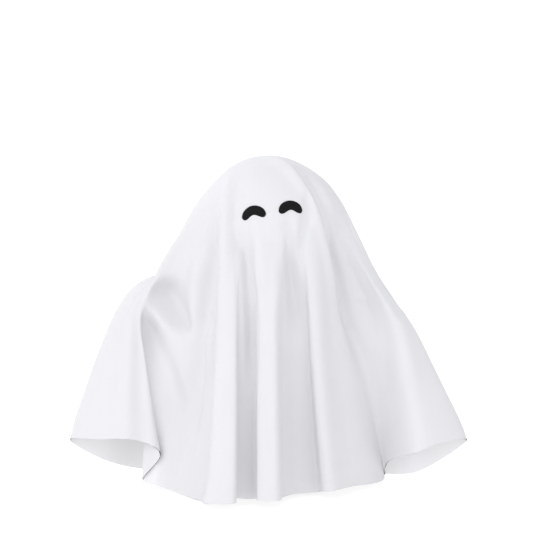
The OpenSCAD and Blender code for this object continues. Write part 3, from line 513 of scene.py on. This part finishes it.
# Distance to a line of points and how far along it that is, from 0 to 1
def nearLine(points, line):
    line = np.array(line, float)
    lengths = np.linalg.norm(np.diff(line, axis=0), axis=1)
    starts = np.concatenate([[0], np.cumsum(lengths)])
    best = np.full(points.shape[:-1], np.inf)
    along = np.zeros(points.shape[:-1])
    for k, length in enumerate(lengths):
        way = (line[k + 1] - line[k]) / length
        t = np.clip((points - line[k]) @ way, 0, length)
        gap = np.linalg.norm(points - line[k] - t[..., None] * way, axis=-1)
        along = np.where(gap < best, (starts[k] + t) / starts[-1], along)
        best = np.minimum(gap, best)
    return best, along


# Small folds: each moves the face along its normal by its depth, as a bell across its line that dies out at
# the ends
def addFolds(points):
    normals = gridNormals(points)
    seen = photoPixel(points)
    facing = ease(0.0, foldShape["turned"], normals @ viewBack)
    moved = np.zeros(points.shape[:-1])
    for fold in foldLines:
        gap, along = nearLine(seen, fold["line"])
        width = np.interp(along, [0, 1], fold["width"]) * mm / photoView["pixelSize"]
        depth = np.interp(along, [0, 1], fold["depth"]) * mm
        ends = ease(0, foldShape["grown"], along) * (1 - ease(foldShape["dying"], 1, along))
        moved += depth * np.exp(-((gap / width) ** 2)) * ends
    return points + (moved * facing)[..., None] * normals


# Nothing comes nearer to a ball's middle than a given distance: the distances' powers are added, so a high
# power gives a hard edge and a low one a soft swell
def keepOff(points, middle, distance, power):
    offset = points - middle
    far = np.linalg.norm(offset, axis=-1, keepdims=True)
    return middle + offset * (1 + (distance / far) ** power) ** (1 / power)


# Each point moves half way to the mean of its four neighbours; the top and hem rows stay
def relaxed(points, times):
    for _ in range(times):
        mean = (np.roll(points, 1, 1) + np.roll(points, -1, 1))[1:-1] + points[:-2] + points[2:]
        points = np.concatenate([points[:1], points[1:-1] * 0.5 + mean * 0.125, points[-1:]])
    return points


def shapeSheet():
    points, headAngle = sheetPoints()
    first, last = sheetCut["smoothing"]
    swell = sheetCut["swell"]
    points = relaxed(addFolds(points), first)
    for middle, radius in hands:
        points = keepOff(points, middle, radius + sheetCut["easeOverHand"], swell["hand"])
    points = keepOff(points, np.array(sheetCut["leverTip"]), sheetCut["leverRoom"], swell["lever"])
    points = keepOff(points, headMiddle, sheetIn["capR"] * sheetCut["hug"], swell["head"])
    return relaxed(points, last), headAngle


sheetGrid, sheetAngle = shapeSheet()
# Painted light: the outer finish glows in the left pleat, the inner one glows all over
sheetMaterials = [sheetFinish("white_knit", sheetCut["pleatLight"]["strength"], "pleatLight"),
                  sheetFinish("white_knit_inside", knit["through"])]
print("sheet shaped:", sheetGrid.shape)


# How much of the sheet goes with a hand: all of it round the hand, none at the seams, part of it at the hem
def handShare(wing, middle, topRow):
    hold = sheetCut["handHold"]
    away = np.abs(fromWing(sheetAngle, wing))
    across = 1 - ease(hold["width"], sheetCut["seamAngle"] - 1, away)  # none from a degree inside the seam
    height = sheetGrid[..., 2]
    low, top = middle[2] + hold["above"], height[topRow]
    down = np.clip((top - height) / (top - low), 0, 1)
    hem = np.interp(height, [0, middle[2]], [sheetCut["hemShare"], 1])
    share = across * down * hem
    share[: topRow + 1] = 0
    return share


# How much of it goes with the head: none at the wings' seams, all of it over the head. In front and behind,
# the change from one to the other reaches further down.
def headShare():
    blend, seam = sheetCut["headBlend"], sheetCut["seamAngle"]
    away = np.min([np.abs(fromWing(sheetAngle, wing)) for wing in sheetCut["wingAngle"]], 0)
    free = ease(seam, seam + blend["between"], away)
    side, front = np.array(blend["side"]), np.array(blend["front"])
    low, high = side[:, None] + (front - side)[:, None] * free
    return ease(low, high, sheetGrid[..., 2])


# Columns of the left pleat's return, whose inner face shows in full light and so takes the outer finish,
# without the inner face's all-over painted glow
def inPleat(column):
    first, last = sheetCut["pleatRibs"]
    rib = column * len(sheetCut["ribs"]) / sheetCut["columns"]
    return (rib > first) & (rib < last)


# Painted light on the left pleat: a glow that lifts the shade in its cleft, a bell across it, below the arm
def pleatLight():
    ribs, columns, paintedGlow = len(sheetCut["ribs"]), sheetCut["columns"], sheetCut["pleatLight"]
    gap = (np.arange(columns) * ribs / columns - paintedGlow["rib"] + ribs / 2) % ribs - ribs / 2
    return np.exp(-((gap / paintedGlow["width"]) ** 2)) * (1 - ease(*paintedGlow["fade"], sheetGrid[..., 2]))


# Corner numbers of a closed grid's cells
def gridCells(grid):
    number = np.arange(grid[..., 0].size).reshape(grid.shape[:2])
    right = np.roll(number, -1, 1)
    return np.stack([number[:-1], number[1:], right[1:], right[:-1]], -1)


# One piece of the sheet: chosen cells of the grid as a shell of the cloth's thickness, closed at its edges
def sheetPiece(name, cells, withApex):
    rows, columns = sheetGrid.shape[:2]
    corners = gridCells(sheetGrid)
    outer = corners[cells].tolist()
    apexAt = rows * columns
    if withApex:
        ring = np.arange(columns)
        outer += np.stack([np.full(columns, apexAt), ring, np.roll(ring, -1)], -1).tolist()
    below = np.concatenate([cells[1:], np.zeros((1, columns), bool)])
    above = np.concatenate([np.full((1, columns), withApex), cells[:-1]])
    beside = [np.roll(cells, 1, 1), below, np.roll(cells, -1, 1), above]
    edges = [corners[cells & ~taken][:, [k, (k + 1) % 4]] for k, taken in enumerate(beside)]
    shift = apexAt + 1
    faces = outer + [[v + shift for v in reversed(face)] for face in outer]
    faces += [[v, u, u + shift, v + shift] for u, v in np.concatenate(edges).tolist()]
    used = np.unique(np.concatenate([np.ravel(face) for face in faces]))
    place = np.full(2 * shift, -1)
    place[used] = np.arange(len(used))
    apex = np.array([[0, 0, sheetIn["headZ"] + sheetIn["capR"]]])
    normals = np.concatenate([gridNormals(sheetGrid).reshape(-1, 3), [[0, 0, 1]]])
    points = np.concatenate([sheetGrid.reshape(-1, 3), apex])
    points = np.concatenate([points, points - normals * sheetCut["thickness"]])
    made = addMesh(name, points[used], [place[face].tolist() for face in faces], sheetMaterials[0])
    made.data.materials.append(sheetMaterials[1])
    # Inner faces take the finish with the all-over painted glow, save in the pleat's return
    inside = np.zeros(len(faces), np.int32)
    column = np.tile(np.arange(columns), (rows - 1, 1))[cells]
    inside[len(outer) : len(outer) + len(column)] = ~inPleat(column)
    inside[len(outer) + len(column) : 2 * len(outer)] = 1
    made.data.polygons.foreach_set("material_index", inside)
    addFlat(made, "flatCloth", np.tile(flatSheet(), (2, 1))[used])
    # painted light: each point's share of the pleat's glow
    paintedGlow = np.append(pleatLight().ravel(), 0)
    made.data.attributes.new("pleatLight", "FLOAT", "POINT")
    made.data.attributes["pleatLight"].data.foreach_set("value", paintedGlow[used % shift].astype(np.float32))
    made.data.normals_split_custom_set_from_vertices(np.concatenate([normals, -normals])[used].tolist())
    return made, used % shift


# The sheet laid flat: a point's way down its rib from the top, turned to the rib's angle
def flatSheet():
    steps = np.linalg.norm(np.diff(sheetGrid, axis=0), axis=-1)
    first = np.linalg.norm(sheetGrid[0] - headMiddle - [0, 0, sheetIn["capR"]], axis=-1)
    way = first + np.concatenate([np.zeros((1, steps.shape[1])), np.cumsum(steps, 0)])
    turn = np.radians(sheetAngle)
    flat = np.stack([way * np.sin(turn), -way * np.cos(turn)], -1).reshape(-1, 2)
    return np.concatenate([flat, [[0, 0]]])


# The sheet in three pieces with hidden seams: middle and wings
def addSheet():
    rows, columns = sheetGrid.shape[:2]
    made = []
    middleCells = np.ones((rows - 1, columns), bool)
    for side, wing, (middle, _) in zip(("left", "right"), sheetCut["wingAngle"], hands):
        arm = side + "_arm"
        inside = np.abs(fromWing(sheetAngle, wing)) < sheetCut["seamAngle"]
        lowEnough = (sheetGrid[:, inside, 2] < sheetCut["seamHeight"]).all(1)
        topRow = int(np.argmax(lowEnough))
        cells = np.zeros_like(middleCells)
        cells[topRow:] = inside & np.roll(inside, -1)
        middleCells &= ~cells
        piece, at = sheetPiece(side + "_wing", cells, False)
        share = np.concatenate([handShare(wing, middle, topRow).ravel(), [0]])
        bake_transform(piece)
        made.append((piece, [side + "_hand"]))
    piece, at = sheetPiece("sheet_middle", middleCells, True)
    share = np.append(headShare().ravel(), 1)
    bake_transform(piece)
    made.append((piece, ["head_dome"]))
    for piece, _ in made:
        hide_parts("sheet")
    return made


sheetPieces = addSheet()

# Eyes: two padded crescents on the sheet. In a crescent's own frame, p to the right and q up, the upper edge
# is half an ellipse on two round ends, and the lower edge a low arch, half a wave of a cosine, between them.
eyeCut = {
    "halfWidth": 10.7 * mm,
    "rise": 8.7 * mm,
    "endRadius": 2.6 * mm,
    "arch": 3.1 * mm,
    "middle": {"left_eye": 3.7 * mm, "right_eye": 5.0 * mm},  # the height that the eye is hung by
    "pad": 1.5 * mm,
    "padEnds": 0.35,  # power by which the pad dies out at the ends
    "sunk": 0.2 * mm,
    "tilt": {"left_eye": 12.5, "right_eye": -3.0},  # degrees, the left tip down
    "steps": (96, 28),
    "tip": 0.003,  # part of the half turn from end to end that each tip leaves off
    "black": (0.0015, 0.0015, 0.0018),
    "thread": (0.009, 0.009, 0.01),
    "stitch": 0.55 * mm,
    "fuzz": 2600,  # scale of the noise, per metre
    "depth": 0.12 * mm,
}


def eyeFinish():
    finish = Finish("black_stitching")
    way = finish.place("eyeWay")
    along, _ = finish.split(way)
    threads = (along * (2 * math.pi / eyeCut["stitch"])).sine() * 0.5 + 0.5
    fuzz = finish.noise(way, eyeCut["fuzz"], 3, 0.6)
    colour = finish.mix(threads * 0.6 + fuzz * 0.3, eyeCut["black"], eyeCut["thread"])
    height = threads * 0.7 + fuzz * 0.5
    return finish.surface(Base_Color=colour, Roughness=fuzz * 0.25 + 0.5,
                          Normal=finish.bump(height, eyeCut["depth"], 0.7), Specular_IOR_Level=0.12)


def eyeEdges(p):
    half, end = eyeCut["halfWidth"], eyeCut["endRadius"]
    upper = end + eyeCut["rise"] * np.sqrt(np.maximum(1 - (p / half) ** 2, 0))
    straight = half - end
    arch = eyeCut["arch"] * (0.5 + 0.5 * np.cos(np.pi * np.clip(p / straight, -1, 1)))
    roundEnd = end - np.sqrt(np.maximum(end**2 - np.maximum(np.abs(p) - straight, 0) ** 2, 0))
    return np.where(np.abs(p) < straight, arch, roundEnd), upper


# A point of the crescent goes straight out from the head's middle to the cloth. The pad swells over its
# height like half a circle and dies out at the ends.
def addEye(node, cloth, material):
    low, high = (np.array(corner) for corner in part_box(node))
    out = unit((low + high) / 2 - headMiddle)
    up = unit(np.array([0, 0, 1]) - out[2] * out)
    tilt = math.radians(eyeCut["tilt"][node])
    right = math.cos(tilt) * np.cross(up, out) + math.sin(tilt) * up
    up = np.cross(out, right)
    u, v = np.meshgrid(*(np.linspace(0, 1, steps + 1) for steps in eyeCut["steps"]), indexing="ij")
    tip = eyeCut["tip"]
    p = -eyeCut["halfWidth"] * np.cos(np.pi * (tip + (1 - 2 * tip) * u))
    lower, upper = eyeEdges(p)
    q = lower + (upper - lower) * v
    face = out * sheetIn["capR"] + p[..., None] * right + (q - eyeCut["middle"][node])[..., None] * up
    ways = unit(face).reshape(-1, 3)
    seat = np.array([cloth.ray_cast(Vector(headMiddle), Vector(way))[0] for way in ways])
    pad = eyeCut["pad"] * np.sqrt(4 * v * (1 - v)) * np.sin(np.pi * u) ** eyeCut["padEnds"]
    points = np.concatenate([seat + ways * pad.reshape(-1, 1), seat - ways * eyeCut["sunk"]])
    number = np.arange(u.size).reshape(u.shape)
    top = np.stack([number[:-1, :-1], number[1:, :-1], number[1:, 1:], number[:-1, 1:]], -1).reshape(-1, 4)
    rim = np.concatenate([number[:-1, 0], number[-1, :-1], number[:0:-1, -1], number[0, :0:-1]])
    after = np.roll(rim, -1)
    sides = np.stack([rim + u.size, after + u.size, after, rim], -1)
    faces = np.concatenate([top, top[:, ::-1] + u.size, sides]).tolist()
    made = addMesh(node + "_pad", points, faces, material)
    addFlat(made, "eyeWay", np.tile(np.stack([p, q], -1).reshape(-1, 2), (2, 1)))
    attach(made, "head")
    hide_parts(node)
    return made


def addEyes():
    faces = gridCells(sheetGrid).reshape(-1, 4)
    cloth = BVHTree.FromPolygons(sheetGrid.reshape(-1, 3).tolist(), faces.tolist())
    material = eyeFinish()
    return [addEye(node, cloth, material) for node in eyeCut["tilt"]]


eyes = addEyes()
print("eyes sewn on:", [len(eye.data.polygons) for eye in eyes])


# Flat coordinates of each sheet piece, read back from its map
def declareSheets():
    for piece, under in sheetPieces:
        layer = piece.data.uv_layers["flatCloth"]
        flat = np.empty(2 * len(piece.data.loops), np.float32)
        layer.data.foreach_get("uv", flat)


declareSheets()

# Finishes of the parts inside, one per slot of the record: a fine grain moves roughness and height, a broad
# one colour
grains = {
    "matte_plastic": {"scale": 4200, "rough": (0.4, 0.55), "depth": 0.03 * mm, "metal": 0, "coat": 0},
    "gloss_plastic": {"scale": 900, "rough": (0.16, 0.26), "depth": 0.01 * mm, "metal": 0, "coat": 0.3},
    "rubber": {"scale": 2600, "rough": (0.7, 0.86), "depth": 0.03 * mm, "metal": 0, "coat": 0},
    "fabric": {"scale": 1300, "rough": (0.85, 0.97), "depth": 0.5 * mm, "metal": 0, "coat": 0},
    "brushed_steel": {"scale": 800, "rough": (0.2, 0.42), "depth": 0.01 * mm, "metal": 1, "coat": 0},
    "aluminium": {"scale": 500, "rough": (0.24, 0.4), "depth": 0.006 * mm, "metal": 1, "coat": 0},
    "cast_iron": {"scale": 1100, "rough": (0.5, 0.8), "depth": 0.15 * mm, "metal": 0.7, "coat": 0},
    "brass": {"scale": 700, "rough": (0.18, 0.32), "depth": 0.006 * mm, "metal": 1, "coat": 0},
}
partLook = {
    "broad": 70,  # scale of the broad grain, per metre
    "dark": 0.84,  # of the record's colour, the darkest
    "brushed": (1, 1, 0.06),  # stretch of the brush marks
    "foamCells": 700.0,
}


def partFinish(entry):
    grain = grains[entry["class"]]
    finish = Finish(entry["slot"])
    where = finish.place()
    if entry["class"] == "brushed_steel":
        where = finish.node("ShaderNodeMapping", {}, {"Vector": where, "Scale": partLook["brushed"]})
    fine = finish.noise(where, grain["scale"], 3, 0.6)
    broad = finish.noise(where, partLook["broad"], 3, 0.5)
    base = entry["base_color"]
    low, high = grain["rough"]
    height = fine
    if entry["slot"] == "hand_foam":
        cells = finish.node("ShaderNodeTexVoronoi", {}, {"Vector": where, "Scale": partLook["foamCells"]})
        height = fine * 0.4 + cells
    dark = [partLook["dark"] * part for part in base]
    return finish.surface(Base_Color=finish.mix(broad * 0.6 + fine * 0.3, dark, base),
                          Roughness=fine * (high - low) + low, Metallic=grain["metal"],
                          Coat_Weight=grain["coat"], Normal=finish.bump(height, grain["depth"], 0.6))


def finishParts(finishes):
    done = 0
    for node in frame["nodes"].values():
        for part in [node, *node.children_recursive]:
            for place in part.material_slots:
                place.material = finishes[place.material.name.split(".")[0]]
                done += 1
    return done


partFinishes = {entry["slot"]: partFinish(entry) for entry in frame["record"]["materials"]}
print("part finishes:", finishParts(partFinishes))

# Button spring: a round wire carried along a helix whose two end turns lie close.
springCut = {
    "wire": 0.4 * mm,  # radius
    "turns": 5,
    "endPitch": 0.95 * mm,
    "rings": 200,
    "sides": 10,
}


def addSpring():
    low, high = (np.array(corner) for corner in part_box("button_spring"))
    wire, turns, pitch = springCut["wire"], springCut["turns"], springCut["endPitch"]
    middle, radius = (low + high) / 2, (high[0] - low[0]) / 2 - wire
    bottom, top = low[2] + wire, high[2] - wire
    turn = np.linspace(0, turns, springCut["rings"] + 1)
    height = np.interp(turn, [0, 1, turns - 1, turns], [bottom, bottom + pitch, top - pitch, top])
    angle = 2 * np.pi * turn
    outward = np.stack([np.cos(angle), np.sin(angle), np.zeros_like(angle)], -1)
    path = outward * radius + np.stack([*np.broadcast_arrays(middle[0], middle[1], height)], -1)
    side = unit(np.cross(np.gradient(path, axis=0), outward))
    around = 2 * np.pi * np.arange(springCut["sides"]) / springCut["sides"]
    ring = np.cos(around)[:, None] * outward[:, None] + np.sin(around)[:, None] * side[:, None]
    points = (path[:, None] + wire * ring).reshape(-1, 3)
    number = np.arange(len(points)).reshape(ring.shape[:2])
    after = np.roll(number, -1, 1)
    faces = np.stack([number[:-1], after[:-1], after[1:], number[1:]], -1).reshape(-1, 4).tolist()
    faces += [number[0, ::-1].tolist(), number[-1].tolist()]
    made = addMesh("button_coil", points, faces, partFinishes["steel"])
    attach(made, "stand")
    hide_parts("button_spring")
    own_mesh(made)
    return made


print("spring wound:", len(addSpring().data.polygons))

# Studio: a pale light table, an even sky all round, two very large soft lamps in front, the left one
# stronger, and one behind
studio = {
    "floorColour": (0.2, 0.2, 0.2),
    "floorGlow": 0.84,
    "floorHalf": 20,  # half its side, in metres
    "sky": (0.965, 0.97, 1.0),
    "skyStrength": (1.02, 0.85),  # in front and behind
    "skyChange": 0.5,  # how far round to the front and back the change reaches
    "lamps": [  # degrees from the front towards the right, degrees up, spread, strength
        ("key_lamp", -44, 30, 56, 0.92),
        ("fill_lamp", 38, 6, 56, 0.52),
        ("back_lamp", -150, 30, 50, 0.85),
    ],
    "lampAway": 3,
}


def addLamp(name, azimuth, elevation, spread, strength):
    lamp = bpy.data.lights.new(name, "SUN")
    lamp.energy, lamp.angle = strength, math.radians(spread)
    held = bpy.data.objects.new(name, lamp)
    turn, rise = math.radians(azimuth), math.radians(elevation)
    toLamp = Vector((math.sin(turn) * math.cos(rise), -math.cos(turn) * math.cos(rise), math.sin(rise)))
    held.location = toLamp * studio["lampAway"]
    held.rotation_mode = "QUATERNION"
    held.rotation_quaternion = (-toLamp).to_track_quat("-Z", "Y")
    bpy.context.scene.collection.objects.link(held)


def makeStudio():
    table = Finish("light_table").surface(Base_Color=(*studio["floorColour"], 1), Roughness=0.8,
                                          Emission_Color=(1, 1, 1, 1), Emission_Strength=studio["floorGlow"])
    corners = studio["floorHalf"] * np.array([[-1, -1, 0], [1, -1, 0], [1, 1, 0], [-1, 1, 0]], float)
    addMesh("floor", corners, [(0, 1, 2, 3)], table)
    world = bpy.data.worlds.new("studio_sky")
    bpy.context.scene.world = world
    world.use_nodes = True
    sky = world.node_tree.nodes["Background"]
    sky.inputs["Color"].default_value = (*studio["sky"], 1)
    kinds = ("ShaderNodeTexCoord", "ShaderNodeSeparateXYZ", "ShaderNodeMapRange")
    way, parts, grade = (world.node_tree.nodes.new(kind) for kind in kinds)
    (front, behind), change = studio["skyStrength"], studio["skyChange"]
    ranges = {"From Min": -change, "From Max": change, "To Min": front, "To Max": behind}
    for socket, value in ranges.items():
        grade.inputs[socket].default_value = value
    world.node_tree.links.new(way.outputs["Generated"], parts.inputs[0])
    world.node_tree.links.new(parts.outputs["Y"], grade.inputs["Value"])
    world.node_tree.links.new(grade.outputs[0], sky.inputs["Strength"])
    for lamp in studio["lamps"]:
        addLamp(*lamp)
    bpy.context.scene.view_settings.view_transform = "Standard"


makeStudio()
print("studio lit")
